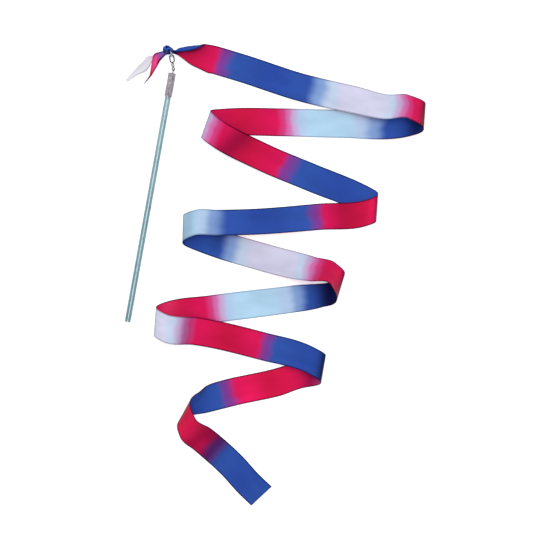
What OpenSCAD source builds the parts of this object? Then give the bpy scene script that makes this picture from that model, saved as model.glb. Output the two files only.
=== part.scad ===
// Rhythmic ribbon wand: a stick, a swivel and a long satin ribbon, laid flat.
// The stick lies along +Y and everything rests on the plane z = 0.

/* [Rod] */
// Diameter of the stick
rod_d = 8; // [6:0.5:9]
// Length of the stick from its rounded butt to its tip
rod_len = 340; // [300:5:360]
// Depth of the pilot hole that holds the screw eye
pilot_depth = 14; // [8:1:20]
// How much thinner the stick is inside the sleeve
spigot_step = 0.4; // [0.2:0.1:1]

/* [Tip sleeve] */
// Outer diameter of the sleeve that is shrunk over the tip
sleeve_d = 10; // [9.5:0.5:11]
// Length of the sleeve
sleeve_len = 32; // [20:1:40]
// How far the sleeve's end wall stands past the tip
sleeve_lip = 3; // [2:0.5:4]

/* [Swivel] */
// Angle between the swivel's axis and the stick
swivel_tilt = 18; // [0:1:20]
// Diameter of the swivel's barrel
barrel_d = 4.4; // [4.4:0.2:5]
// Length of the swivel's barrel
barrel_len = 5; // [5:0.1:5.2]
// Outside width of the large eye that takes the ribbon
eye_w = 7.2; // [7.2:0.2:7.6]
// Outside length of the large eye
eye_len = 11.6; // [11:0.2:11.6]
// Wire diameter of the large eye
eye_wire = 1.6; // [1.4:0.1:1.7]

/* [Ribbon] */
// Width of the ribbon
ribbon_w = 38; // [30:1:38]
// Thickness of the ribbon
ribbon_t = 0.5; // [0.4:0.1:0.6]

/* [Hidden] */
// Where each run of the ribbon is cut into nodes, as places in its list of rungs. The runs that bow
// or twist are cut, so that each length is close to flat.
CUTS = [[0, 2, 3, 5], [0, 3], [0, 1, 3], [0, 2, 4], [0, 2, 3, 4], [0, 1, 3], [0, 1, 2, 3], [0, 4], [0, 4]];
function run_name(k, c) = str("ribbon_run_", k + 1, len(CUTS[k]) > 2 ? chr(97 + c) : "");

$fn = 48;
axis_z = 5;
wand_x = -142;
butt_y = -87;
tip_y = butt_y + rod_len;
sleeve_end = tip_y + sleeve_lip;
spigot_d = rod_d - spigot_step;
spigot_len = sleeve_len - sleeve_lip;
running_gap = 0.08;

// Small wire parts: the screw eye and the lower eye hook through each other at the link point.
// The screw eye's shank is bent a little to the ribbon's side where it leaves the sleeve.
small_wire = 1.1;
small_r = 1.9;
link_gap = 0.2;
shank_bend = 0.7;
shank_rise = 0.95;
link = [wand_x + shank_bend, sleeve_end + small_wire / 2 + 2 * small_r + shank_rise, axis_z];
link_step = small_wire + link_gap;
shank_len = pilot_depth + sleeve_lip;

// Places along the swivel's axis, counted from the link point
lower_top = 2 * small_r - link_step;
barrel_start = lower_top + small_wire / 2 + 0.5;
barrel_end = barrel_start + barrel_len;
eye_start = barrel_end + 0.4;
eye_bar = eye_start + eye_len - eye_wire / 2;
eye_r = (eye_w - eye_wire) / 2;
head_d = 2.6;
head_len = 0.8;
cap_wall = 0.9;
head_gap = 0.15;

// The ribbon's loop hooks round the far end of the large eye and runs back into the knot.
loop_gap = 0.6;
loop_t = 1.4;
loop_w = 3;
loop_reach = 4;

// The knot
knot_at = [-153.2, 285.9, 5.4];
knot_r = 4.6;
knot_step = [2.1, 1.2, 0];

// Each bend: the middle of the line across the ribbon where the turn starts, the same where
// it ends, the two lines' headings from +Y, how far each is banked with its near edge up,
// and how far the turn reaches out beyond them.
BENDS = [
    [[182, 267, 18], [185, 246, 3], [5, 5], [30, 6], 22],
    [[-78, 200, 1], [-76, 190, 12], [-9, -9], [0, 4], 8],
    [[153, 132, 1], [155, 118, 14], [6, 6], [0, 16], 10],
    [[-77, 61, 16], [-74, 44, 2], [9, 9], [24, 3], 15],
    [[122, 26, 19], [119, -2, 8], [-8, -6], [40, -22], 14],
    [[-94, -70, 1], [-91, -86, 13], [6, 6], [0, 6], 13],
    [[112, -94, 15], [114, -112, 3], [0, 0], [15, 5], 18],
    [[-37, -183, 8], [-36, -213, 17], [-14, -27], [-22, -25], 9],
];

// Middle of the ribbon between the bends: [x, y, z, heading from +Y, bank]
RUNS = [
    [[-88, 284, 4, -1, 0], [-52, 280, 2, -6, 0], [36, 268, 2, -5, 0], [111, 264, 8, 0, 12],
     [152, 262, 14, 3, 24]],
    [[94, 229, 1, 10, 0], [16, 217, 1, 11, 0]],
    [[-6, 167, 5, -18, 0], [70, 150, 1, -12, 0]],
    [[87, 99, 7, 13, 18], [-2, 76, 8, 11, 21], [-46, 67, 10, 10, 22]],
    [[13, 33, 1, -8, 0], [62, 29, 6, -3, 8], [92, 28, 12, -5, 27]],
    [[76, -16, 6, 16, -16], [-33, -50, 1, 16, 0]],
    [[-47, -83, 6, -3, 0], [44, -87, 4, -5, 4]],
    [[68, -134, 1, 23, 0], [10, -158, 1, 22, 0], [-15, -170, 3, 12, -8]],
    [[-13, -226, 7, -28, -8], [32, -254, 1, -38, 0], [58, -274, 1, -39, 0], [79, -288, 1, -37, 0]],
];

// The gathered neck: [x, y, z, heading, width, thickness]
NECK = [
    [-148, 285, 6, 10, 5, 2.4],
    [-142, 285, 6, 10, 6, 2],
    [-137, 286, 6, 10, 11, 1.4],
    [-123, 284, 5, 10, 25, 0.8],
    [-109, 284, 4, 9, 33, 0.6],
    [-88, 284, 4, -1, ribbon_w, ribbon_t],
];

TURN_STEPS = 10;

function lerp(p, q, f) = p + (q - p) * f;
function unit(v) = v / norm(v);
function across(heading, bank) = [-sin(heading) * cos(bank), cos(heading) * cos(bank), -sin(bank)];
function outward(k) =
    let (h = (BENDS[k][2][0] + BENDS[k][2][1]) / 2, side = k % 2 == 0 ? 1 : -1)
    side * [cos(h), sin(h), 0];

// A rung is [far edge, near edge, direction of travel]: one straight line across the ribbon.
function rung(middle, line, travel, width = ribbon_w) =
    [middle + line * width / 2, middle - line * width / 2, travel];

function turn_rung(k, f) =
    let (
        b = BENDS[k],
        out = outward(k),
        plan = lerp(b[0], b[1], f),
        high = (b[0][2] + b[1][2]) / 2 + (b[0][2] - b[1][2]) / 2 * cos(180 * f),
        middle = [plan[0], plan[1], high] + out * b[4] * sin(180 * f),
        drift = [b[1][0] - b[0][0], b[1][1] - b[0][1], 0],
        travel = drift + out * b[4] * PI * cos(180 * f)
            - [0, 0, (b[0][2] - b[1][2]) / 2 * PI * sin(180 * f)]
    )
    rung(middle, across(lerp(b[2][0], b[2][1], f), lerp(b[3][0], b[3][1], f)), travel);

function bend_rungs(k) = [for (i = [0 : TURN_STEPS]) turn_rung(k, i / TURN_STEPS)];

function run_stops(k) = concat(
    k == 0 ? [] : [BENDS[k - 1][1]],
    [for (r = RUNS[k]) [r[0], r[1], r[2]]],
    k == 8 ? [] : [BENDS[k][0]]
);

function run_rungs(k) =
    let (
        stops = run_stops(k),
        first = k == 0 ? 0 : 1,
        inner = [
            for (i = [0 : len(RUNS[k]) - 1])
                let (
                    r = RUNS[k][i],
                    j = i + first,
                    travel = stops[min(j + 1, len(stops) - 1)] - stops[max(j - 1, 0)]
                )
                rung([r[0], r[1], r[2]], across(r[3], r[4]), travel)
        ]
    )
    concat(
        k == 0 ? [] : [turn_rung(k - 1, 1)],
        inner,
        k == 8 ? [] : [turn_rung(k, 0)]
    );

// A closed strip that follows a list of rungs; t is one thickness, or one for each rung.
module strip(rungs, t = ribbon_t) {
    n = len(rungs);
    thick = [for (i = [0 : n - 1]) is_list(t) ? t[i] : t];
    lift = [for (i = [0 : n - 1]) unit(cross(rungs[i][0] - rungs[i][1], rungs[i][2])) * thick[i] / 2];
    points = [
        for (i = [0 : n - 1])
            each [rungs[i][0] + lift[i], rungs[i][1] + lift[i], rungs[i][1] - lift[i], rungs[i][0] - lift[i]]
    ];
    // The two faces of the strip are cut along the same diagonal, so its thickness stays even.
    sides = [
        for (i = [0 : n - 2], c = [0 : 3])
            let (p = 4 * i + c, q = 4 * i + (c + 1) % 4)
            each c < 2
                ? [[p, q, q + 4], [p, q + 4, p + 4]]
                : [[p, q, p + 4], [q, q + 4, p + 4]]
    ];
    ends = [[2, 1, 0], [3, 2, 0], [4 * n - 4, 4 * n - 3, 4 * n - 2], [4 * n - 4, 4 * n - 2, 4 * n - 1]];
    polyhedron(points = points, faces = concat(sides, ends));
}

// Turns +Z into the stick's direction of travel, with the origin on the stick's axis
module on_wand(y) {
    translate([wand_x, y, axis_z]) rotate([-90, 0, 0]) children();
}

// Turns +Z into the swivel's axis, counted from the link point
module on_swivel(s) {
    translate(link) rotate([0, 0, swivel_tilt]) translate([0, s, 0]) rotate([-90, 0, 0]) children();
}

module ring(r, wire) {
    rotate_extrude() translate([r, 0]) circle(d = wire);
}

module rod() {
    color("powderblue") on_wand(butt_y) difference() {
        union() {
            translate([0, 0, rod_d / 2]) sphere(d = rod_d);
            translate([0, 0, rod_d / 2]) cylinder(d = rod_d, h = rod_len - spigot_len - rod_d / 2);
            cylinder(d = spigot_d, h = rod_len);
        }
        translate([0, 0, rod_len - pilot_depth]) cylinder(d = small_wire, h = pilot_depth + 1);
    }
}

module tip_sleeve() {
    color("darkgray") on_wand(sleeve_end - sleeve_len) difference() {
        cylinder(d = sleeve_d, h = sleeve_len);
        translate([0, 0, -1]) cylinder(d = spigot_d, h = spigot_len + 1);
        cylinder(d = small_wire, h = sleeve_len + 1);
    }
}

module screw_eye() {
    color("dimgray") {
        on_wand(sleeve_end - shank_len) cylinder(d = small_wire, h = shank_len);
        hull() {
            translate([wand_x, sleeve_end, axis_z]) sphere(d = small_wire);
            translate(link - [0, 2 * small_r, 0]) sphere(d = small_wire);
        }
        translate(link - [0, small_r, 0]) rotate([0, 90, 0]) ring(small_r, small_wire);
    }
}

module stem(start, length) {
    on_swivel(start) cylinder(d = small_wire, h = length);
}

module swivel_lower_eye() {
    color("dimgray") {
        on_swivel(lower_top - small_r) rotate([90, 0, 0]) ring(small_r, small_wire);
        stem(lower_top, barrel_start + cap_wall + head_gap - lower_top);
        on_swivel(barrel_start + cap_wall + head_gap) cylinder(d = head_d, h = head_len);
    }
}

module swivel_barrel() {
    color("silver") on_swivel(barrel_start) difference() {
        rotate_extrude() polygon([
            [0, 0], [barrel_d * 0.36, 0], [barrel_d / 2, 0.8], [barrel_d / 2, barrel_len - 0.8],
            [barrel_d * 0.36, barrel_len], [0, barrel_len]
        ]);
        translate([0, 0, cap_wall]) cylinder(d = head_d + 2 * head_gap, h = barrel_len - 2 * cap_wall);
        translate([0, 0, -1]) cylinder(d = small_wire + 2 * running_gap, h = barrel_len + 2);
    }
}

module swivel_upper_eye() {
    straight = eye_len - eye_w;
    color("slategray") {
        on_swivel(eye_start + eye_w / 2) rotate([90, 0, 0]) {
            rotate([0, 0, 180]) rotate_extrude(angle = 180) translate([eye_r, 0]) circle(d = eye_wire);
            for (side = [-1, 1]) translate([side * eye_r, 0, 0]) rotate([-90, 0, 0]) {
                cylinder(d = eye_wire, h = straight);
            }
            translate([0, straight, 0]) rotate_extrude(angle = 180) translate([eye_r, 0]) circle(d = eye_wire);
        }
        stem(barrel_end - cap_wall - head_gap, eye_start + eye_wire / 2 - barrel_end + cap_wall + head_gap);
        on_swivel(barrel_end - cap_wall - head_gap - head_len) cylinder(d = head_d, h = head_len);
    }
}

// The gathered ribbon where it passes through the large eye and round its far end
module ribbon_loop() {
    inner = eye_wire / 2 + loop_gap;
    color("lightsteelblue") on_swivel(eye_bar) rotate([0, 90, 0]) {
        rotate([0, 0, -90]) rotate_extrude(angle = 180) translate([inner, -loop_w / 2]) square([loop_t, loop_w]);
        for (y = [inner, -inner - loop_t]) {
            translate([-loop_reach, y, -loop_w / 2]) cube([loop_reach, loop_t, loop_w]);
        }
    }
}

module ribbon_knot() {
    color("mediumblue") hull() {
        for (side = [-1, 1], rise = [-1, 1]) {
            translate(knot_at + [side * knot_step[0], rise * knot_step[1], 0]) sphere(r = knot_r, $fn = 24);
        }
    }
}

module tail(outline, low) {
    translate([0, 0, low]) linear_extrude(1) polygon(outline);
}

module ribbon_tail_front() {
    color("hotpink") tail([[-156, 284], [-165, 279], [-171, 276], [-172, 268], [-172, 258], [-173, 249],
        [-175, 243], [-179, 236], [-177, 235], [-173, 241], [-170, 247], [-167, 254], [-164, 262],
        [-162, 268], [-160, 272], [-156, 278]], 1);
}

module ribbon_tail_rear() {
    color("lavender") tail([[-171, 276], [-179, 273], [-183, 267], [-190, 257], [-196, 247], [-205, 235],
        [-202, 232], [-189, 245], [-179, 251], [-175, 258], [-172, 264]], 1);
}

module ribbon_neck() {
    last = len(NECK) - 1;
    rungs = [
        for (i = [0 : last])
            let (s = NECK[i], travel = i == last ? run_rungs(0)[0][2] : [1, 0, 0])
            rung([s[0], s[1], s[2]], across(s[3], 0), travel, s[4])
    ];
    color("crimson") strip(rungs, [for (s = NECK) s[5]]);
}

module ribbon_run(k, c) {
    rungs = run_rungs(k);
    color(k % 2 == 0 ? "crimson" : "royalblue") strip([for (i = [CUTS[k][c] : CUTS[k][c + 1]]) rungs[i]]);
}

module ribbon_bend(k) {
    color("mediumorchid") strip(bend_rungs(k));
}

rod();
tip_sleeve();
screw_eye();
swivel_lower_eye();
swivel_barrel();
swivel_upper_eye();
ribbon_loop();
ribbon_knot();
ribbon_tail_front();
ribbon_tail_rear();
ribbon_neck();
for (k = [0 : 8], c = [0 : len(CUTS[k]) - 2]) ribbon_run(k, c);
for (i = [1 : 8]) ribbon_bend(i - 1);
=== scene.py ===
"""Rhythmic ribbon wand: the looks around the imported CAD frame.

The stick, sleeve, screw eye and swivel are the CAD's own nodes with their materials. The ribbon is
one long satin strip that repeats the CAD's route, with its knot, its strap through the swivel's
eye and its two tail lobes as pieces of their own. Lengths in the tables are millimetres, as in the
CAD, and MM turns them into metres.
"""
import math

import bpy
import numpy as np
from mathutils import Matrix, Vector


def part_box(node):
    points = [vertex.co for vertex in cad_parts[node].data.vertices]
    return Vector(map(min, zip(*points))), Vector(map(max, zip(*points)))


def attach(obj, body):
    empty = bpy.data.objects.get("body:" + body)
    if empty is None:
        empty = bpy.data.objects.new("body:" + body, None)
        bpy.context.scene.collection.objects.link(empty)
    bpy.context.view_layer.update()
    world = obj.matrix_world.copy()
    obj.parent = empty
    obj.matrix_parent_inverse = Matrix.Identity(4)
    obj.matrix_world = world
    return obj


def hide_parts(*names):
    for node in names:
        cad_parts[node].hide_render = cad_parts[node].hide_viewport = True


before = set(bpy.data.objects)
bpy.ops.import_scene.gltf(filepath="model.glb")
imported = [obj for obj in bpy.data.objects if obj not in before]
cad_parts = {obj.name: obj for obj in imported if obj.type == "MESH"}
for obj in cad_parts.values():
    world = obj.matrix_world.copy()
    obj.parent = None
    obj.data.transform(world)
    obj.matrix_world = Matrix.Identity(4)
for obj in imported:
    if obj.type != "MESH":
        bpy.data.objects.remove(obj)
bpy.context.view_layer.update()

scene = bpy.context.scene
MM = 0.001

# ---------------------------------------------------------------- ribbon route, as in the CAD
RIBBON_WIDTH = 38
CLOTH = 0.25
ROW_STEP = 2.5
BEND_ROWS = 26
COLUMNS = 32

# Each bend: middle of the line across the ribbon where the turn starts, the same where it ends,
# the two lines' headings from +Y, how far each is banked, and how far the turn reaches out.
BENDS = [
    [[182, 267, 18], [185, 246, 3], [5, 5], [30, 6], 22],
    [[-78, 200, 1], [-76, 190, 12], [-9, -9], [0, 4], 8],
    [[153, 132, 1], [155, 118, 14], [6, 6], [0, 16], 10],
    [[-77, 61, 16], [-74, 44, 2], [9, 9], [24, 3], 15],
    [[122, 26, 19], [119, -2, 8], [-8, -6], [40, -22], 14],
    [[-94, -70, 1], [-91, -86, 13], [6, 6], [0, 6], 13],
    [[112, -94, 15], [114, -112, 3], [0, 0], [15, 5], 18],
    [[-37, -183, 8], [-36, -213, 17], [-14, -27], [-22, -25], 9],
]

# Middle of the ribbon between the bends: [x, y, z, heading from +Y, bank]
RUNS = [
    [[-88, 284, 4, -1, 0], [-52, 280, 2, -6, 0], [36, 268, 2, -5, 0], [111, 264, 8, 0, 12],
     [152, 262, 14, 3, 24]],
    [[94, 229, 1, 10, 0], [16, 217, 1, 11, 0]],
    [[-6, 167, 5, -18, 0], [70, 150, 1, -12, 0]],
    [[87, 99, 7, 13, 18], [-2, 76, 8, 11, 21], [-46, 67, 10, 10, 22]],
    [[13, 33, 1, -8, 0], [62, 29, 6, -3, 8], [92, 28, 12, -5, 27]],
    [[76, -16, 6, 16, -16], [-33, -50, 1, 16, 0]],
    [[-47, -83, 6, -3, 0], [44, -87, 4, -5, 4]],
    [[68, -134, 1, 23, 0], [10, -158, 1, 22, 0], [-15, -170, 3, 12, -8]],
    [[-13, -226, 7, -28, -8], [32, -254, 1, -38, 0], [58, -274, 1, -39, 0], [79, -288, 1, -37, 0]],
]

# How high the loose cloth waves, where its waves' random draws start, and how far its edges lift
WAVE_HEIGHT = 0.35
WAVE_SEED = 7
EDGE_LIFT = 0.35

# The gathered neck, from the knot to the full width: the fold at its far side, its near edge, the
# height of both, and how much of the far edge is folded over on top.
NECK = [
    [[-149, 287], [-149, 283], 6, 2],
    [[-143, 287], [-142, 282], 6, 4],
    [[-138, 291], [-136, 280], 6, 7],
    [[-125, 296], [-120, 272], 5, 8],
    [[-112, 300], [-106, 268], 4, 5],
    [[-103, 303], [-95, 265], 4, 0],
]

# The neck's rows, how high its pleats stand, and the row of the first run that its edges aim for
NECK_ROWS = 32
NECK_PLEAT = 2.2
NECK_JOIN = 4

# The flap: radius of its fold, its rise from there for each millimetre, and the least that is
# folded over where it shows
FLAP_ROLL = 0.6
FLAP_LIFT = 0.08
FLAP_LEAST = 0.5

# Where the dye turns red, blue and pale along each side, counted from the knot, and the length of
# its repeat, which carries it on past the two ends of each table
DYE_REPEAT = 355
DYE_UPPER = [
    [-30, 72, 210], [335, 430, 565], [686, 795, 950], [1044, 1150, 1280],
    [1402, 1505, 1635], [1764, 1870, 1990], [2109, 2232, 2345],
]
DYE_LOWER = [
    [-170, -55, 80], [194, 300, 435], [558, 675, 795], [909, 1020, 1160],
    [1269, 1380, 1511], [1629, 1740, 1870], [1964, 2094, 2210],
]

# Painted shade and painted highlights on each side, for creases, the insides and rims of turns and
# glints: place along the ribbon, how far it reaches, change in painted brightness, lean towards the
# far edge, which edge it keeps to (1 far, -1 near, 0 neither), and how much it leans to navy (above 0)
# or to pink (below 0)
PAINTED_LIGHT_UPPER = [
    [2, 9, -0.3, 0, 0, 0.9], [26, 18, -0.42, 0.6, 1, 0.3], [361, 8, -0.75, 0, 0, 0.25],
    [716, 16, -0.4, 0.5, 0, 0.1], [1260, 12, -0.35, 0, 1, 0.1], [1320, 45, -0.1, 0, 0, 0],
    [1430, 8, 0.12, 0, 0, 0], [1448, 7, -0.85, 0, 0, 0.4], [1758, 8, -0.25, 0, 0, 0.15],
    [1956, 9, -0.8, 0, 0, 0.4], [2178, 12, 0.15, 0, 0, 0], [2207, 12, -0.4, 0.3, 0, 0],
    [2230, 12, -0.35, 0, 0, 0.5],
]
PAINTED_LIGHT_LOWER = [
    [375, 14, -0.5, 0, 0, 0.5], [931, 7, -0.75, 0, 0, 0.25], [943, 7, 0.25, 0, 0, 0],
    [984, 16, -0.2, 0, 0, 0], [1194, 9, -0.2, 0, 0, 0.1], [1466, 17, -0.6, 0.4, 0, 0.85],
    [1689, 14, 0.2, 0, 0, -0.06], [1973, 13, -0.3, 0, 0, 0.25], [2015, 18, 0.15, 0, 0, 0],
    [2062, 22, 0.2, 0, 0, 0],
]

# Painted shade where the satin stands upright in a turn: how much darker it is painted there, and
# the heights of its unit normal between which it gets there
STEEP_SHADE = 0.7
STEEP_RANGE = [0.3, 0.85]

# How dark and how wide the painted shade along the neck's fold is, and the painted shadow beside its
# flap
FOLD_SHADE = 0.55
FOLD_REACH = 0.9
FLAP_SHADE = 0.4
FLAP_REACH = 2

# A gathered strand: its sides, how far its pleats wander round it, how deep they are, how much
# darker their valleys are painted and how much painted shade darkens its two rims
STRAND_SIDES = 40
PLEAT_WANDER = 1.3
PLEAT_DEPTH = 0.14
PLEAT_SHADE = 0.55
RIM_SHADE = 0.6

# The knot: a three-lobed tie, with its middle where the CAD's knot has it. It is turned, stretched
# sideways and slanted, and its strand faces out as on a pebble of these half lengths.
KNOT_MIDDLE = [-153.2, 285.4, 5.4]
KNOT_POINTS = 150
KNOT_LOBES = 3
KNOT_SCALE = 1.75
KNOT_RISE = 1.8
KNOT_TURN = 4
KNOT_STRETCH = 1.2
KNOT_SLANT = 0.22
KNOT_PEBBLE = [6, 6, 6**0.5]

# Half width and half thickness of the knot's strand, its pleats, the middle and the swing of its
# dye and of its painted light, and the direction from its middle in which the painted light makes it
# brightest
KNOT_STRAND = [2.3, 1.15]
KNOT_PLEATS = 3
KNOT_DYE = [0.47, 0.06]
KNOT_LIGHT = [0.85, 0.5]
KNOT_LIT_FROM = 125

# The strap that holds the swivel: from the knot round the middle of the large eye's far end and
# back. The swivel lies turned by SWIVEL_TILT, and the strap's ends are this far back and this high.
STRAP_BAR = [-147.4, 280.1, 5]
SWIVEL_TILT = 18
STRAP_POINTS = 60
STRAP_RADIUS = 2.0
STRAP_REACH = 7
STRAP_RISE = 1.2
STRAP_STRAND = [1.3, 0.55]
STRAP_PLEATS = 5
STRAP_DYE = [0.72, 0.84]
# How bright the strap is painted, as painted light
STRAP_LIGHT = 0.8

# How far behind the strap's bar the knot stays, and over what depth it is pressed to get there
EYE_ROOM = 1.3
EYE_PRESS = 0.5

# The two tail lobes: [left edge], [right edge], height of the top layer, dye, how dark the painted
# shade at the folds is, lean to pink, painted brightness
TAIL_FRONT = [
    [[-157, 285], [-155, 279], 6.5, 0.46, 0.8, 0.1, 0.9],
    [[-160, 283], [-158, 275], 6, 0.41, 1, 0.3, 0.9],
    [[-165, 281], [-160, 272], 5.5, 0.345, 1, 0.35, 0.9],
    [[-171, 277], [-162, 268], 5, 0.3, 0.95, 0.3, 1.1],
    [[-172, 268], [-164, 262], 4, 0.25, 0.4, 0.28, 1.22],
    [[-172, 258], [-167, 254], 3.5, 0.22, 0.4, 0.18, 1.1],
    [[-172, 249], [-170, 247], 3, 0.18, 0.5, 0, 0.72],
    [[-174, 243], [-173, 242], 3, 0.1, 0.5, 0.25, 0.45],
    [[-178, 236], [-177, 235], 3, -0.14, 0.3, 0, 1.12],
]
TAIL_REAR = [
    [[-171, 276], [-171, 270], 3, 0.82, 0.12, 0.35, 1.12],
    [[-179, 273], [-173, 265], 3, 0.83, 0.12, 0.1, 1.08],
    [[-183, 267], [-175, 258], 3, 0.85, 0.12, 0.03, 1.06],
    [[-190, 257], [-179, 252], 3, 0.86, 0.12, 0.02, 1.08],
    [[-196, 247], [-189, 245], 3, 0.86, 0.12, 0, 1.12],
    [[-203, 236], [-200, 234], 3, 0.86, 0.12, 0, 1.14],
]

# The tails' layers, the gap between them, their rows, how much of the width is painted dark with
# shade at the left and at the right fold, and how high their waves are for each millimetre of width
TAIL_LAYERS = 3
TAIL_GAP = 0.8
TAIL_ROWS = 60
TAIL_DARK_LEFT = 0.15
TAIL_DARK_RIGHT = 0.25
TAIL_WAVE = 1 / 30


def turn(k, f):
    """[x, y, z, heading, bank] of the ribbon's middle at the share f of bend k."""
    enter, leave, headings, banks, reach = BENDS[k]
    enter = np.array(enter, float)
    leave = np.array(leave, float)
    side = 1 if k % 2 == 0 else -1
    middle_heading = math.radians(sum(headings) / 2)
    outward = side * np.array([math.cos(middle_heading), math.sin(middle_heading), 0])
    place = enter + (leave - enter) * f
    place[2] = (enter[2] + leave[2]) / 2 + (enter[2] - leave[2]) / 2 * math.cos(math.pi * f)
    place = place + outward * reach * math.sin(math.pi * f)
    heading = headings[0] + (headings[1] - headings[0]) * f
    bank = banks[0] + (banks[1] - banks[0]) * f
    return np.array([*place, heading, bank])


def turn_slope(k, f):
    """Change of a bend's five values for each millimetre travelled, at the share f."""
    small = 1e-4
    step = turn(k, min(1, f + small)) - turn(k, max(0, f - small))
    slope = step / np.linalg.norm(step[:3])
    slope[3:] = 0
    return slope


def run(k):
    """The rows of run k: a smooth curve through its stops that leaves and joins its bends."""
    stops = [np.array(stop, float) for stop in RUNS[k]]
    if k > 0:
        stops.insert(0, turn(k - 1, 1))
    if k < len(BENDS):
        stops.append(turn(k, 0))
    stops = np.array(stops)
    gaps = np.linalg.norm(np.diff(stops[:, :3], axis=0), axis=1)
    chords = np.diff(stops, axis=0) / gaps[:, None]
    slopes = np.zeros_like(stops)
    slopes[0] = turn_slope(k - 1, 1) if k > 0 else chords[0]
    slopes[-1] = turn_slope(k, 0) if k < len(BENDS) else chords[-1]
    for i in range(1, len(stops) - 1):
        before, after = gaps[i - 1], gaps[i]
        slopes[i] = (chords[i - 1] * after + chords[i] * before) / (before + after)
    rows = []
    for i, gap in enumerate(gaps):
        count = max(2, math.ceil(gap / ROW_STEP))
        for j in range(count):
            t = j / count
            rows.append(
                (2 * t**3 - 3 * t**2 + 1) * stops[i]
                + (t**3 - 2 * t**2 + t) * gap * slopes[i]
                + (3 * t**2 - 2 * t**3) * stops[i + 1]
                + (t**3 - t**2) * gap * slopes[i + 1]
            )
    rows.append(stops[-1])
    return rows


def route():
    """Every row of the ribbon from the end of its neck to its free end."""
    rows = run(0)
    for k in range(len(BENDS)):
        rows += [turn(k, i / BEND_ROWS) for i in range(1, BEND_ROWS)]
        rows += run(k + 1)
    return np.array(rows)


def across(rows):
    """Unit vectors from the near edge to the far edge of each row."""
    heading = np.radians(rows[:, 3])
    bank = np.radians(rows[:, 4])
    return np.stack(
        [-np.sin(heading) * np.cos(bank), np.cos(heading) * np.cos(bank), -np.sin(bank)], axis=1
    )


def lengths(middles):
    """Distance travelled along a line of points, starting at 0."""
    return np.concatenate([[0], np.cumsum(np.linalg.norm(np.diff(middles, axis=0), axis=1))])


# ---------------------------------------------------------------- cloth meshes
def curve_through(stops, at):
    """Catmull-Rom curve through stops (rows of numbers), read at the places `at` from 0 to 1."""
    stops = np.array(stops, float)
    last = len(stops) - 1
    padded = np.vstack([2 * stops[0] - stops[1], stops, 2 * stops[-1] - stops[-2]])
    place = np.clip(np.array(at) * last, 0, last - 1e-9)
    i = place.astype(int)
    t = (place - i)[:, None]
    p0, p1, p2, p3 = padded[i], padded[i + 1], padded[i + 2], padded[i + 3]
    return 0.5 * (
        2 * p1
        + (p2 - p0) * t
        + (2 * p0 - 5 * p1 + 4 * p2 - p3) * t**2
        + (3 * p1 - p0 - 3 * p2 + p3) * t**3
    )


def grid_normals(grid):
    """Unit normals of a grid of points, far edge last in each row."""
    along = np.gradient(grid, axis=0)
    over = np.gradient(grid, axis=1)
    normals = np.cross(along, over)
    return normals / np.maximum(np.linalg.norm(normals, axis=2, keepdims=True), 1e-9)


def solid(name, points, faces, layers, sides=None):
    """A mesh object (mm) whose UV layers are given as one array of point pairs for each side. sides
    says which side each face is on: 0 takes satin_upper and 1 satin_lower."""
    mesh = bpy.data.meshes.new(name)
    mesh.from_pydata([tuple(p) for p in points * MM], [], faces)
    sides = [0] * len(faces) if sides is None else sides
    for layer, tables in layers.items():
        uv = mesh.uv_layers.new(name=layer)
        for face, side in zip(mesh.polygons, sides):
            table = tables[side]
            for loop in face.loop_indices:
                uv.data[loop].uv = table[mesh.loops[loop].vertex_index % len(table)]
    for face, side in zip(mesh.polygons, sides):
        face.use_smooth = True
        face.material_index = side
    piece = bpy.data.objects.new(name, mesh)
    scene.collection.objects.link(piece)
    for material in (satin_upper, satin_lower)[: max(sides) + 1]:
        mesh.materials.append(material)
    return piece


def cloth(name, grid, dye, painted_light_and_tint, weave, thickness=CLOTH):
    """A closed thin sheet over a grid of points (mm). Its dye and its painted light and shade are pairs
    of numbers at each grid point for its upper and its lower side, and weave is its place in the cloth."""
    rows, columns = grid.shape[:2]
    lift = grid_normals(grid) * thickness / 2
    points = np.concatenate([(grid + lift).reshape(-1, 3), (grid - lift).reshape(-1, 3)])
    under = rows * columns
    faces = []
    sides = []
    for i in range(rows - 1):
        for j in range(columns - 1):
            a = i * columns + j
            quad = [a, a + columns, a + columns + 1, a + 1]
            faces += [quad, [q + under for q in reversed(quad)]]
            sides += [0, 1]
    near = [i * columns for i in range(rows)]
    far = [i * columns + columns - 1 for i in range(rows)]
    start = list(range(columns))
    end = [(rows - 1) * columns + j for j in range(columns)]
    for rim in (near[::-1], far, start, end[::-1]):
        faces += [[p, q, q + under, p + under] for p, q in zip(rim, rim[1:])]
        sides += [0] * (len(rim) - 1)
    layers = {
        "dye": [side.reshape(-1, 2) for side in dye],
        "painted_light_and_tint": [side.reshape(-1, 2) for side in painted_light_and_tint],
        "weave": [weave.reshape(-1, 2)] * 2,
    }
    return solid(name, points, faces, layers, sides)


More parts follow.
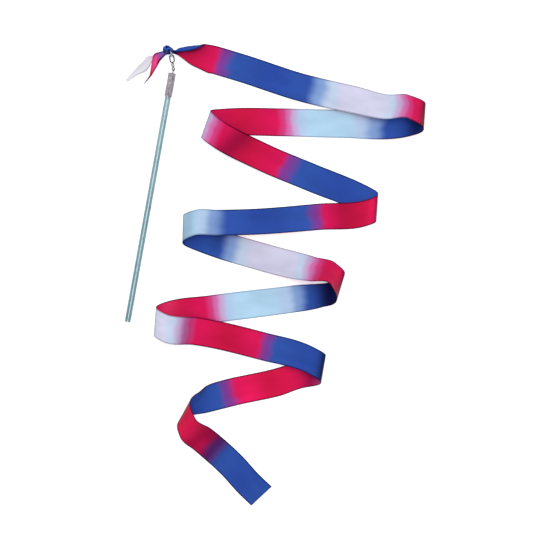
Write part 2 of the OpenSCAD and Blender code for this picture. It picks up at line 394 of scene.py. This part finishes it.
def strand(name, path, outward, size, pleats, phase, light, looped):
    """A gathered, pleated strand (mm) along a path. outward points out of its flat side at each
    point, size is its half width and half thickness, phase its dye and light its painted
    brightness, as one number or one for each point. Its pleats' valleys and its two rims get
    painted shade."""
    count = len(path)
    travel = np.roll(path, -1, axis=0) - np.roll(path, 1, axis=0)
    if not looped:
        travel[0] = path[1] - path[0]
        travel[-1] = path[-1] - path[-2]
    travel /= np.linalg.norm(travel, axis=1, keepdims=True)
    outward = outward - travel * (outward * travel).sum(axis=1, keepdims=True)
    outward /= np.linalg.norm(outward, axis=1, keepdims=True)
    over = np.cross(travel, outward)
    angle = np.linspace(0, 2 * math.pi, STRAND_SIDES, endpoint=False)[None, :]
    round_twice = np.linspace(0, 4 * math.pi, count, endpoint=not looped)[:, None]
    ridge = np.cos(pleats * angle + PLEAT_WANDER * np.sin(round_twice))
    swell = 1 + PLEAT_DEPTH * ridge
    points = (
        path[:, None, :]
        + over[:, None, :] * (size[0] * np.cos(angle) * swell)[:, :, None]
        + outward[:, None, :] * (size[1] * np.sin(angle) * swell)[:, :, None]
    )
    faces = []
    for i in range(count if looped else count - 1):
        for j in range(STRAND_SIDES):
            a, b = i * STRAND_SIDES, (i + 1) % count * STRAND_SIDES
            k = (j + 1) % STRAND_SIDES
            faces.append([a + j, a + k, b + k, b + j])
    if not looped:
        start = list(range(STRAND_SIDES))
        faces += [start[::-1], [(count - 1) * STRAND_SIDES + j for j in start]]
    # Painted shade: darker in the pleats' valleys and towards the two rims, leaning to navy in the
    # valleys
    rim = np.abs(np.cos(angle))
    bright = light * (1 + PLEAT_SHADE * ridge - RIM_SHADE * rim**4)
    layers = {
        "dye": [two(phase[:, None], 0 * angle).reshape(-1, 2)],
        "painted_light_and_tint": [two(bright, 0.3 - 0.3 * ridge).reshape(-1, 2)],
        "weave": [two(lengths(path)[:, None], angle * size[0]).reshape(-1, 2)],
    }
    return solid(name, points.reshape(-1, 3), faces, layers)


def dye_phase(marks, along):
    """Turns distance along the ribbon into repeats of the dye: +0 red, +1/3 blue, +2/3 pale."""
    places = [m for row in marks for m in row]
    steps = np.arange(len(places)) / 3
    inside = np.interp(along, places, steps)
    before = steps[0] + (along - places[0]) / DYE_REPEAT
    after = steps[-1] + (along - places[-1]) / DYE_REPEAT
    return np.where(along < places[0], before, np.where(along > places[-1], after, inside))


def two(u, v):
    """Pairs of numbers, one from each of two tables that are spread to the same shape."""
    return np.stack(np.broadcast_arrays(u, v), axis=-1).astype(float)


def painted_light_at(table, along, far):
    """Painted brightness and lean to navy at each place of one side, from its table of painted shade and
    highlights.
    """
    bright = np.ones(np.broadcast(along, far).shape)
    navy = np.zeros_like(bright)
    for place, reach, change, lean, edge, blue in table:
        weight = np.exp(-(((along - place - lean * far * RIBBON_WIDTH / 2) / reach) ** 2))
        weight = weight * np.clip((1 + edge * far) / (1 + abs(edge)), 0, 1)
        bright += change * weight
        navy += blue * weight
    return two(bright, navy)


def waves(along, over, seed):
    """Gentle unevenness of loose cloth, from a few long waves, between about -1 and 1."""
    draw = np.random.default_rng(seed)
    total = np.zeros(np.broadcast(along, over).shape)
    for _ in range(6):
        total += np.sin(
            along * draw.uniform(0.02, 0.09) + over * draw.uniform(-0.09, 0.09) + draw.uniform(0, 6.3)
        )
    return total / 3.5


def make_neck(main, line, grid):
    """The neck's rows, between its fold and its near edge, with the far edge folded back on top.
    Returns its grid, the middle of each row and how much is folded over there."""
    folds = [[*n[0], n[2]] for n in NECK]
    nears = [[*n[1], n[2]] for n in NECK]
    folds += [main[0, :3] + line[0] * RIBBON_WIDTH / 2, grid[NECK_JOIN, -1]]
    nears += [main[0, :3] - line[0] * RIBBON_WIDTH / 2, grid[NECK_JOIN, 0]]
    stops = np.linspace(0, 1, len(NECK) + 2)
    at = np.linspace(0, stops[-2], NECK_ROWS, endpoint=False)
    fold_line = curve_through(folds, at)
    near_line = curve_through(nears, at)
    flap = curve_through([[n[3]] for n in NECK] + [[0], [0]], at)[:, 0].clip(0)
    neck = np.zeros((NECK_ROWS, COLUMNS + 1, 3))
    for i in range(NECK_ROWS):
        width = np.linalg.norm(near_line[i] - fold_line[i])
        over = (near_line[i] - fold_line[i]) / width
        fold_at = RIBBON_WIDTH - flap[i]
        gather = max(0.0, 1 - width / fold_at)
        for j in range(COLUMNS + 1):
            cloth_at = j / COLUMNS * RIBBON_WIDTH
            if cloth_at <= fold_at:
                t = cloth_at / fold_at
                neck[i, j] = near_line[i] * (1 - t) + fold_line[i] * t
                pleats = math.sin(t * math.pi) * math.cos(t * 5 * math.pi)
                neck[i, j, 2] += NECK_PLEAT * gather * pleats
            else:
                past = cloth_at - fold_at
                angle = min(past / FLAP_ROLL, math.pi)
                flat = max(0.0, past - math.pi * FLAP_ROLL)
                neck[i, j] = fold_line[i] - over * FLAP_ROLL * math.sin(angle) + over * flat
                neck[i, j, 2] += FLAP_ROLL * (1 - math.cos(angle)) + FLAP_LIFT * flat
    return neck, (fold_line + near_line) / 2, flap


def shade_flap(painted_light_and_tint, share, flap):
    """Paints shade on the neck along its fold and a painted shadow beside the flap's free edge."""
    for i, folded in enumerate(flap):
        past = (share + 1) / 2 * RIBBON_WIDTH - (RIBBON_WIDTH - folded)
        crease = np.exp(-((past / FOLD_REACH) ** 2))
        shadow = np.exp(-(((past + folded) / FLAP_REACH) ** 2)) * (past < 0)
        for side in painted_light_and_tint:
            side[i, :, 0] -= (FOLD_SHADE * crease + FLAP_SHADE * shadow) * (folded > FLAP_LEAST)


def make_ribbon():
    """The ribbon from the knot to its free end. Returns the piece and its length."""
    main = route()
    share = np.linspace(-1, 1, COLUMNS + 1)
    line = across(main)
    grid = main[:, None, :3] + line[:, None, :] * (RIBBON_WIDTH / 2 * share)[None, :, None]
    neck, neck_middles, flap = make_neck(main, line, grid)
    grid = np.concatenate([neck, grid])

    far = share[None, :]
    along = lengths(np.concatenate([neck_middles, main[:, :3]]))[:, None]
    wave = waves(along, far * RIBBON_WIDTH / 2, WAVE_SEED)
    grid[:, :, 2] += WAVE_HEIGHT * wave + EDGE_LIFT * far**2
    grid[:, :, 2] = np.maximum(grid[:, :, 2], CLOTH)

    dye = [two(dye_phase(marks, along), far) for marks in (DYE_UPPER, DYE_LOWER)]
    painted_light_and_tint = [painted_light_at(table, along, far) for table in (PAINTED_LIGHT_UPPER, PAINTED_LIGHT_LOWER)]
    # Painted shade where the satin stands upright in a turn, then along the neck's fold and flap
    upright = np.interp(np.abs(grid_normals(grid)[:, :, 2]), STEEP_RANGE, [1, 0])
    for side in painted_light_and_tint:
        side[:, :, 0] *= 1 - STEEP_SHADE * upright
    shade_flap(painted_light_and_tint, share, flap)
    weave = two(along, far * RIBBON_WIDTH / 2)
    return cloth("ribbon", grid, dye, painted_light_and_tint, weave), along[-1, 0]


def strap_back():
    """The way from the large eye to the knot, level with the floor."""
    tilt = math.radians(SWIVEL_TILT)
    return np.array([-math.sin(tilt), math.cos(tilt), 0])


def make_knot():
    """The tie: a trefoil of one pleated strand, flattened like a pebble, with painted light from its
    upper left.
    """
    t = np.linspace(0, 2 * math.pi, KNOT_POINTS, endpoint=False)
    radius = (2 + np.cos(KNOT_LOBES * t)) * KNOT_SCALE
    angle = 2 * t + math.radians(KNOT_TURN)
    wide = radius * np.cos(angle) * KNOT_STRETCH
    high = radius * np.sin(angle) - KNOT_SLANT * wide
    path = np.stack([wide, high, KNOT_RISE * np.sin(KNOT_LOBES * t)], axis=1)
    outward = path / np.array(KNOT_PEBBLE) ** 2
    phase = KNOT_DYE[0] + KNOT_DYE[1] * np.sin(angle + 1)
    # Painted light: brighter towards KNOT_LIT_FROM, darker on the far side
    light = KNOT_LIGHT[0] + KNOT_LIGHT[1] * np.cos(angle - math.radians(KNOT_LIT_FROM))[:, None]
    path = path + np.array(KNOT_MIDDLE)
    knot = strand("knot", path, outward, KNOT_STRAND, KNOT_PLEATS, phase, light, True)

    # Pressed back from the plane in which the large eye stands when the wand is lifted
    back = strap_back()
    bar = np.array(STRAP_BAR, float)
    for vertex in knot.data.vertices:
        depth = float((np.array(vertex.co) / MM - bar) @ back)
        beyond = depth - EYE_ROOM
        pressed = EYE_PRESS * math.log1p(math.exp(beyond / EYE_PRESS))
        vertex.co += Vector(back) * (pressed - beyond) * MM
    return knot


def make_strap():
    """The strap: out of the knot, round the far end of the large eye, and back under it."""
    back = strap_back()
    up = np.array([0, 0, 1.0])
    half_turn = np.linspace(0, math.pi, 9)
    straight = [(STRAP_REACH, STRAP_RISE), (STRAP_REACH / 2, STRAP_RADIUS - 0.1)]
    stops = straight + [(-STRAP_RADIUS * math.sin(a), STRAP_RADIUS * math.cos(a)) for a in half_turn]
    stops += [(far, -high) for far, high in reversed(straight)]
    flat = curve_through(stops, np.linspace(0, 1, STRAP_POINTS))
    path = np.array(STRAP_BAR, float) + flat[:, :1] * back + flat[:, 1:] * up
    outward = np.minimum(flat[:, :1], 0) * back + flat[:, 1:] * up
    phase = np.linspace(*STRAP_DYE, STRAP_POINTS)
    return strand("strap", path, outward, STRAP_STRAND, STRAP_PLEATS, phase, STRAP_LIGHT, False)


def make_tail(name, table):
    """A loose end lying folded in layers. Returns the piece, its cloth's width and its length."""
    at = np.linspace(0, 1, TAIL_ROWS)
    left = curve_through([row[0] for row in table], at)
    right = curve_through([row[1] for row in table], at)
    high = curve_through([[row[2]] for row in table], at)
    share = np.linspace(0, 1, COLUMNS + 1)
    layer = share * TAIL_LAYERS
    place = np.abs((layer + 1) % 2 - 1)[None, :]
    over = place[:, :, None]
    grid = np.zeros((TAIL_ROWS, COLUMNS + 1, 3))
    grid[:, :, :2] = left[:, None, :] * (1 - over) + right[:, None, :] * over
    width = np.linalg.norm(left - right, axis=1)
    wave = np.sin(place * 3 * math.pi + 2 * at[:, None])
    grid[:, :, 2] = high - TAIL_GAP * layer + wave * width[:, None] * TAIL_WAVE
    along = lengths((left + right) / 2)
    rows = np.linspace(0, 1, len(table))
    looks = [np.interp(at, rows, values)[:, None] for values in list(zip(*table))[3:]]
    phase, fold, pink, bright = looks
    # Painted shade at the two folds and over the waves, leaning to navy at the folds, and the table's
    # lean to pink
    rim = np.exp(-((place / TAIL_DARK_LEFT) ** 2)) + np.exp(-(((1 - place) / TAIL_DARK_RIGHT) ** 2))
    dye = two(phase, 0 * place)
    painted_light_and_tint = two(bright * (1 - fold * rim + 0.2 * fold * wave), 0.6 * fold * rim - pink)
    weave = two(along[:, None], share[None, :] * RIBBON_WIDTH)
    piece = cloth(name, grid, [dye, dye], [painted_light_and_tint, painted_light_and_tint], weave)
    return piece, TAIL_LAYERS * width.mean(), along[-1]


# ---------------------------------------------------------------- materials
def linear(red, green, blue):
    """An sRGB colour, 0 to 255, as the shader's linear colour."""
    parts = []
    for value in (red, green, blue):
        value /= 255
        parts.append(value / 12.92 if value <= 0.04045 else ((value + 0.055) / 1.055) ** 2.4)
    return (*parts, 1)


class Nodes:
    """A material's nodes, with short ways to add and join them."""

    def __init__(self, name):
        self.material = bpy.data.materials.new(name)
        self.material.use_nodes = True
        self.tree = self.material.node_tree
        self.shader = self.tree.nodes["Principled BSDF"]

    def add(self, kind, settings=None, **inputs):
        node = self.tree.nodes.new(kind)
        for key, value in (settings or {}).items():
            setattr(node, key, value)
        for key, value in inputs.items():
            self.put(node, key, value)
        return node

    def put(self, node, key, value):
        socket = node.inputs[int(key[1:])] if key[0] == "_" else node.inputs[key]
        if isinstance(value, bpy.types.NodeSocket):
            self.tree.links.new(value, socket)
        elif isinstance(value, bpy.types.Node):
            self.tree.links.new(value.outputs[0], socket)
        else:
            socket.default_value = value

    def math(self, operation, first, second=0.0):
        return self.add("ShaderNodeMath", {"operation": operation}, _0=first, _1=second)

    def mix(self, share, first, second, blend="MIX"):
        node = self.add("ShaderNodeMix", {"data_type": "RGBA", "blend_type": blend})
        self.put(node, "_0", share)
        self.put(node, "_6", first)
        self.put(node, "_7", second)
        return node.outputs[2]

    def noise(self, place, scale, detail=2.0, rough=0.5):
        return self.add(
            "ShaderNodeTexNoise", None, Vector=place, Scale=scale, Detail=detail, Roughness=rough
        ).outputs[0]

    def stretch(self, place, by):
        node = self.add("ShaderNodeMapping", None, Vector=place)
        node.inputs["Scale"].default_value = by
        return node.outputs[0]

    def span(self, value, low, high, to_low=0.0, to_high=1.0):
        node = self.add("ShaderNodeMapRange", None, Value=value)
        ends = {"From Min": low, "From Max": high, "To Min": to_low, "To Max": to_high}
        for key, number in ends.items():
            node.inputs[key].default_value = number
        return node.outputs[0]

    def ramp(self, place, stops):
        """A colour ramp from (position, colour) stops."""
        node = self.add("ShaderNodeValToRGB", None, Fac=place)
        node.color_ramp.interpolation = "EASE"
        made = node.color_ramp.elements
        made[0].position, made[0].color = stops[0]
        made[1].position, made[1].color = stops[-1]
        for position, colour in stops[1:-1]:
            made.new(position).color = colour
        return node.outputs[0]

    def set(self, **inputs):
        for key, value in inputs.items():
            self.put(self.shader, key.replace("_", " "), value)


RED = linear(215, 26, 86)
DEEP_RED = linear(200, 24, 68)
PURPLE = linear(126, 60, 148)
BLUE = linear(50, 84, 168)
DEEP_BLUE = linear(45, 76, 162)
LILAC = linear(200, 172, 214)
PINK = linear(208, 112, 172)
ROSE = linear(212, 62, 126)


def satin(name, pale, pale_edge, selvage=1.0):
    """Dyed satin: crimson, royal blue and a pale colour, soft into each other, with a fine weave,
    darker selvages and a little unevenness in the dye. It also shows the painted shade and painted
    highlights that its pieces carry."""
    n = Nodes(name)
    dye = n.add("ShaderNodeUVMap", {"uv_map": "dye"}).outputs[0]
    painted_light_and_tint = n.add("ShaderNodeUVMap", {"uv_map": "painted_light_and_tint"}).outputs[0]
    weave = n.add("ShaderNodeUVMap", {"uv_map": "weave"}).outputs[0]
    split = n.add("ShaderNodeSeparateXYZ", None, _0=dye)
    phase, over = split.outputs[0], split.outputs[1]
    split = n.add("ShaderNodeSeparateXYZ", None, _0=painted_light_and_tint)
    bright, navy = split.outputs[0], split.outputs[1]

    # The dye bleeds unevenly, so its edges wander by a few millimetres
    patches = n.stretch(weave, (0.02, 0.05, 1))
    bleed = n.noise(patches, 1.0, 1.0)
    wander = n.span(bleed, 0.25, 0.75, -0.009, 0.009)
    place = n.math("FRACT", n.math("ADD", phase, wander))
    ramp = n.ramp(place, [
        (0.000, ROSE), (0.030, RED), (0.160, DEEP_RED), (0.292, RED), (0.333, PURPLE), (0.374, BLUE),
        (0.500, DEEP_BLUE), (0.622, BLUE), (0.667, linear(130, 160, 212)), (0.710, pale_edge),
        (0.760, pale), (0.900, pale), (0.935, pale_edge), (0.958, LILAC), (0.981, PINK), (1.000, ROSE),
    ])

    # Broad lighter and darker passages, and fine threads along the length
    cloudy = n.span(n.noise(patches, 1.0, 2.0), 0.3, 0.7)
    threads = n.noise(n.stretch(weave, (0.15, 4.0, 1)), 1.0, 2.0)
    shade = n.mix(cloudy, (0.88, 0.88, 0.88, 1), (1.04, 1.04, 1.04, 1))
    colour = n.mix(1.0, ramp, shade, "MULTIPLY")
    fine = n.mix(threads, (0.95, 0.95, 0.95, 1), (1.04, 1.04, 1.04, 1))
    colour = n.mix(1.0, colour, fine, "MULTIPLY")

    # Painted shade and painted highlights: darker or brighter, leaning to navy or to pink
    grey = n.add("ShaderNodeCombineXYZ", None, _0=bright, _1=bright, _2=bright)
    colour = n.mix(n.span(navy, 0, 1), colour, linear(26, 20, 84))
    colour = n.mix(n.span(navy, 0, -1), colour, linear(238, 130, 215))
    colour = n.mix(1.0, colour, grey, "MULTIPLY")

    # The selvage is woven denser, so it is darker and stands up a little
    edge = n.span(n.math("ABSOLUTE", over), 0.9, 0.945)
    dense = n.ramp(place, [
        (0.00, (0.36, 0.36, 0.4, 1)), (0.05, (0.22, 0.22, 0.28, 1)), (0.62, (0.22, 0.22, 0.28, 1)),
        (0.72, (0.66, 0.66, 0.68, 1)), (0.94, (0.66, 0.66, 0.68, 1)), (1.00, (0.36, 0.36, 0.4, 1)),
    ])
    colour = n.mix(n.math("MULTIPLY", edge, selvage), colour, n.mix(1.0, colour, dense, "MULTIPLY"))

    # Satin's long floats: rows of slanted dashes, finer than a millimetre
    warp = n.noise(n.stretch(weave, (0.5, 6.0, 1)), 1.0, 1.0)
    weft = n.add("ShaderNodeTexWave", {"bands_direction": "X"}, Vector=weave, Scale=0.55, Distortion=1.5)
    relief = n.math("ADD", n.math("MULTIPLY", warp, 0.7), n.math("MULTIPLY", weft.outputs[1], 0.3))
    relief = n.math("ADD", relief, n.math("MULTIPLY", edge, 1.2))
    bump = n.add("ShaderNodeBump", None, Strength=0.25, Distance=0.00012, Height=relief)
    rough = n.span(threads, 0.2, 0.8, 0.34, 0.46)
    n.set(Base_Color=colour, Roughness=rough, Normal=bump.outputs[0])
    n.set(Specular_IOR_Level=0.3, Specular_Tint=colour)
    return n.material


def worn_metal(name, light, dark, rough, scale):
    """Worn wire or tube: brighter where it is rubbed, darker in its hollows."""
    n = Nodes(name)
    place = n.add("ShaderNodeTexCoord").outputs["Object"]
    blotch = n.span(n.noise(place, scale, 3.0), 0.4, 0.68)
    scratch = n.noise(n.stretch(place, (1, 12, 1)), scale * 3, 2.0)
    colour = n.mix(blotch, dark, light)
    bump = n.add("ShaderNodeBump", None, Strength=0.3, Distance=0.00005, Height=scratch)
    gloss = n.span(scratch, 0.3, 0.7, rough, rough + 0.15)
    n.set(Base_Color=colour, Roughness=gloss, Normal=bump.outputs[0], Metallic=1.0)
    return n.material


def rod_plastic():
    """Pale teal fibreglass: glass strands along the stick, cloudy patches, a few dark specks, painted
    shade towards its sides and a painted highlight down its middle."""
    n = Nodes("rod_fibreglass")
    low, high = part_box("rod")
    axis = (low[0] + high[0]) / 2
    radius = (high[0] - low[0]) / 2
    place = n.add("ShaderNodeTexCoord").outputs["Object"]
    split = n.add("ShaderNodeSeparateXYZ", None, _0=place)
    strands = n.noise(n.stretch(place, (1200, 25, 1200)), 1.0, 3.0)
    clouds = n.span(n.noise(place, 45, 3.0), 0.35, 0.65)
    # Lighter towards the stick's end at +Y
    along_rod = n.span(split.outputs[1], low[1], high[1])
    dull = n.mix(along_rod, linear(68, 110, 120), linear(106, 148, 156))
    clear = n.mix(along_rod, linear(90, 132, 142), linear(132, 170, 178))
    bright = n.mix(along_rod, linear(120, 162, 170), linear(164, 196, 202))
    colour = n.mix(clouds, dull, clear)
    colour = n.mix(n.span(strands, 0.35, 0.7), colour, bright)
    aside = n.math("ABSOLUTE", n.math("SUBTRACT", split.outputs[0], axis))
    # Painted shade towards the stick's sides
    colour = n.mix(n.span(aside, radius * 0.45, radius), colour, linear(104, 140, 148))
    # A painted highlight down the stick's middle
    colour = n.mix(n.span(aside, radius * 0.25, 0, 0, 0.6), colour, linear(206, 232, 238))
    specks = n.span(n.noise(n.stretch(place, (420, 160, 420)), 1.0, 1.0), 0.68, 0.74)
    colour = n.mix(specks, colour, linear(72, 102, 108))
    bump = n.add("ShaderNodeBump", None, Strength=0.15, Distance=0.0001, Height=strands)
    n.set(Base_Color=colour, Roughness=n.span(clouds, 0, 1, 0.22, 0.34), Normal=bump.outputs[0])
    n.set(Subsurface_Weight=0.15, Subsurface_Scale=0.002, Coat_Weight=0.7, Coat_Roughness=0.1)
    n.set(Specular_IOR_Level=0.4)
    return n.material


def sleeve_plastic():
    """Pinkish grey shrink sleeve, mottled, with dark scuffs, streaks along it and slight rings
    where it gripped."""
    n = Nodes("sleeve_shrink")
    place = n.add("ShaderNodeTexCoord").outputs["Object"]
    mottle = n.span(n.noise(place, 420, 4.0, 0.6), 0.35, 0.65)
    streaks = n.span(n.noise(n.stretch(place, (500, 50, 500)), 1.0, 2.0), 0.42, 0.62)
    scuffs = n.span(n.noise(n.stretch(place, (300, 140, 300)), 1.0, 3.0), 0.55, 0.66)
    colour = n.mix(mottle, linear(140, 130, 138), linear(190, 182, 190))
    colour = n.mix(streaks, colour, n.mix(1.0, colour, (0.72, 0.70, 0.72, 1), "MULTIPLY"))
    colour = n.mix(scuffs, colour, linear(88, 78, 88))
    rings = n.noise(n.stretch(place, (40, 700, 40)), 1.0, 2.0)
    height = n.math("ADD", mottle, rings)
    bump = n.add("ShaderNodeBump", None, Strength=0.5, Distance=0.00025, Height=height)
    n.set(Base_Color=colour, Roughness=n.span(mottle, 0, 1, 0.5, 0.68), Normal=bump.outputs[0])
    n.set(Specular_IOR_Level=0.25)
    return n.material


def dress(node, material):
    """Gives a CAD node its material."""
    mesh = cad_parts[node].data
    mesh.materials.clear()
    mesh.materials.append(material)


# ---------------------------------------------------------------- pieces
pale_lavender = linear(212, 211, 236)
sky = linear(178, 214, 240)
satin_upper = satin("satin_upper", pale_lavender, linear(196, 212, 236))
satin_lower = satin("satin_lower", sky, linear(180, 204, 236))
satin_faded = satin("satin_faded", linear(222, 220, 229), linear(214, 212, 234), 0.3)

ribbon, ribbon_length = make_ribbon()
knot = make_knot()
strap = make_strap()
tail_front, front_width, front_length = make_tail("tail_front", TAIL_FRONT)
tail_rear, rear_width, rear_length = make_tail("tail_rear", TAIL_REAR)
for side in (0, 1):
    tail_rear.data.materials[side] = satin_faded

LAID_LENGTHS = ("ribbon_neck", "ribbon_run", "ribbon_bend")
STANDS_FOR = {
    ribbon: [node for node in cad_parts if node.startswith(LAID_LENGTHS)],
    knot: ["ribbon_knot"],
    strap: ["ribbon_loop"],
    tail_front: ["ribbon_tail_front"],
    tail_rear: ["ribbon_tail_rear"],
}
for piece, nodes in STANDS_FOR.items():
    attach(piece, "ribbon")
    for node in nodes:
        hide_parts(node)

dark_wire = worn_metal("dark_wire", linear(58, 63, 58), linear(6, 8, 7), 0.34, 380)
bright_tube = worn_metal("barrel_metal", linear(206, 208, 204), linear(136, 138, 136), 0.3, 500)
dress("rod", rod_plastic())
dress("tip_sleeve", sleeve_plastic())
dress("screw_eye", dark_wire)
dress("swivel_lower_eye", dark_wire)
dress("swivel_upper_eye", dark_wire)
dress("swivel_barrel", bright_tube)

# ---------------------------------------------------------------- stage, light and camera
FLOOR_HALF = 3.0
FLOOR_LEVEL = -0.0003
FLOOR_GLOW = 0.42
SKY_LIGHT = 0.5
CORNERS = ((-1, -1), (1, -1), (1, 1), (-1, 1))
floor_mesh = bpy.data.meshes.new("floor")
floor_mesh.from_pydata(
    [(x * FLOOR_HALF, y * FLOOR_HALF, FLOOR_LEVEL) for x, y in CORNERS], [], [(0, 1, 2, 3)]
)
floor = bpy.data.objects.new("floor", floor_mesh)
scene.collection.objects.link(floor)
paper = Nodes("floor_paper")
paper.set(Base_Color=(0.92, 0.92, 0.92, 1), Roughness=0.9, Specular_IOR_Level=0.1)
paper.set(Emission_Color=(1, 1, 1, 1), Emission_Strength=FLOOR_GLOW)
floor_mesh.materials.append(paper.material)

world = bpy.data.worlds.new("studio")
world.use_nodes = True
world.node_tree.nodes["Background"].inputs["Color"].default_value = (1, 1, 1, 1)
world.node_tree.nodes["Background"].inputs["Strength"].default_value = SKY_LIGHT
scene.world = world


def area_light(name, place, size, power):
    light = bpy.data.lights.new(name, "AREA")
    light.shape = "DISK"
    light.size = size
    light.energy = power
    lamp = bpy.data.objects.new(name, light)
    lamp.location = place
    lamp.rotation_euler = (-Vector(place)).to_track_quat("-Z", "Y").to_euler()
    scene.collection.objects.link(lamp)


area_light("top_light", (0.2, 0.3, 3.6), 2.4, 60)
area_light("key_light", (-0.9, 1.0, 1.6), 1.2, 6)

# The camera looks straight down, turned a little, on a view this wide at the floor
CAMERA_OVER = (0.0438, 0.0111)
CAMERA_HEIGHT = 3.0
CAMERA_TURN = 10.2
VIEW_WIDTH = 0.748
SENSOR_WIDTH = 36
camera_data = bpy.data.cameras.new("camera")
camera_data.sensor_width = SENSOR_WIDTH
camera_data.lens = SENSOR_WIDTH * CAMERA_HEIGHT / VIEW_WIDTH
camera = bpy.data.objects.new("camera", camera_data)
camera.location = (*CAMERA_OVER, CAMERA_HEIGHT)
camera.rotation_euler = (0, 0, math.radians(CAMERA_TURN))
scene.collection.objects.link(camera)
scene.camera = camera
scene.view_settings.view_transform = "Standard"
